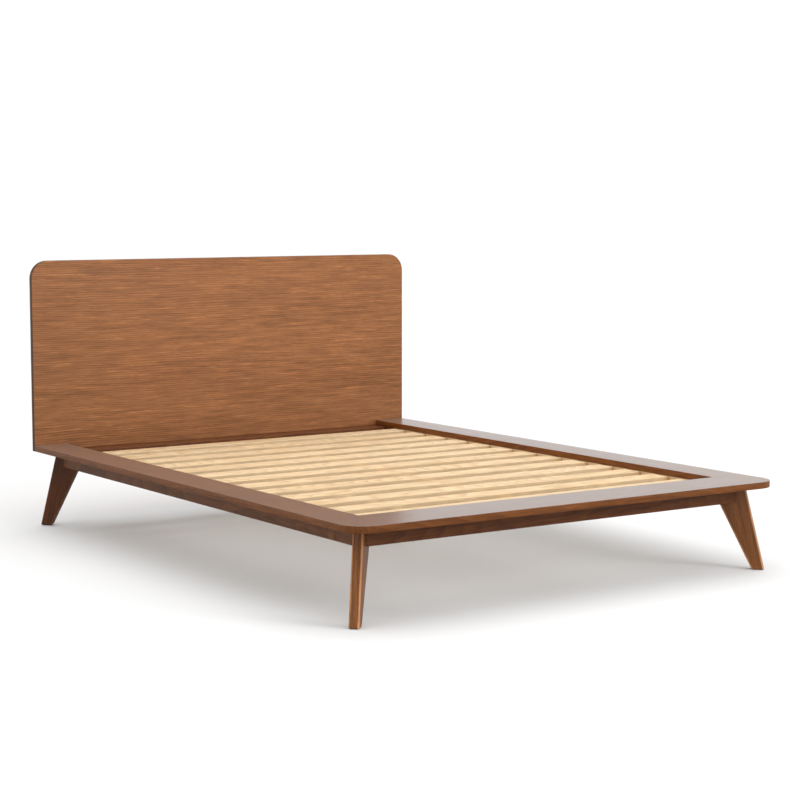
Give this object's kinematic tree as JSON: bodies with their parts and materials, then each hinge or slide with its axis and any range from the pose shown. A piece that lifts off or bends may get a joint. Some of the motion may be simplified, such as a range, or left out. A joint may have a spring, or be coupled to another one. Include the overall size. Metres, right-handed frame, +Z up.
{
  "type": "bed frame",
  "caption": "Platform bed frame with a flat mitred surround round a mattress recess, a tall round-cornered headboard, a slatted base and splayed tapered legs.",
  "frame": {"origin": "on the floor, at the middle of the frame's bounding box", "axes": "+Z up, +Y towards the headboard, +X to the right as seen from the foot of the bed"},
  "size_m": [1.688, 2.2874, 1.006],
  "materials": {
    "walnut_veneer": "walnut-stained veneer, satin lacquer",
    "walnut_solid": "walnut-stained solid wood, satin lacquer",
    "pine": "planed bare pine",
    "zinc_steel": "zinc-plated",
    "black_felt": "pressed felt",
    "webbing": "woven tape",
    "black_nylon": "moulded, fine matt texture"
  },
  "bodies": {
    "frame": {"beam_hanger_foot": "zinc_steel", "beam_hanger_head": "zinc_steel", "centre_beam": "pine", "centre_leg": "walnut_solid", "corner_brace_foot_left": "pine", "corner_brace_foot_right": "pine", "corner_brace_head_left": "pine", "corner_brace_head_right": "pine", "foot_deck": "walnut_veneer", "foot_rail": "walnut_solid", "head_rail": "walnut_solid", "headboard_bolt_left": "zinc_steel", "headboard_bolt_right": "zinc_steel", "headboard_panel": "walnut_veneer", "headboard_post_left": "walnut_solid", "headboard_post_right": "walnut_solid", "headboard_spacer_left": "walnut_solid", "headboard_spacer_right": "walnut_solid", "ledger_bolt_foot_left": "zinc_steel", "ledger_bolt_foot_right": "zinc_steel", "ledger_bolt_head_left": "zinc_steel", "ledger_bolt_head_right": "zinc_steel", "leg_bolt_foot_left": "zinc_steel", "leg_bolt_foot_right": "zinc_steel", "leg_bolt_head_left": "zinc_steel", "leg_bolt_head_right": "zinc_steel", "leg_foot_left": "walnut_solid", "leg_foot_right": "walnut_solid", "leg_head_left": "walnut_solid", "leg_head_right": "walnut_solid", "leg_pad_foot_left": "black_felt", "leg_pad_foot_right": "black_felt", "leg_pad_head_left": "black_felt", "leg_pad_head_right": "black_felt", "rail_return_foot_left": "walnut_solid", "rail_return_foot_right": "walnut_solid", "rail_return_head_left": "walnut_solid", "rail_return_head_right": "walnut_solid", "side_deck_left": "walnut_veneer", "side_deck_right": "walnut_veneer", "side_rail_left": "walnut_solid", "side_rail_right": "walnut_solid", "slat_01": "pine", "slat_02": "pine", "slat_03": "pine", "slat_04": "pine", "slat_05": "pine", "slat_06": "pine", "slat_07": "pine", "slat_08": "pine", "slat_09": "pine", "slat_10": "pine", "slat_11": "pine", "slat_12": "pine", "slat_13": "pine", "slat_ledger_left": "pine", "slat_ledger_right": "pine", "slat_strap_left": "webbing", "slat_strap_right": "webbing"},
    "leveller": {"leveller": "black_nylon"}
  },
  "joints": [
    {"name": "leveller_slide", "type": "slide", "parent": "frame", "child": "leveller", "axis": [0, 0, 1], "range_m": [-0.01, 0.01]}
  ]
}
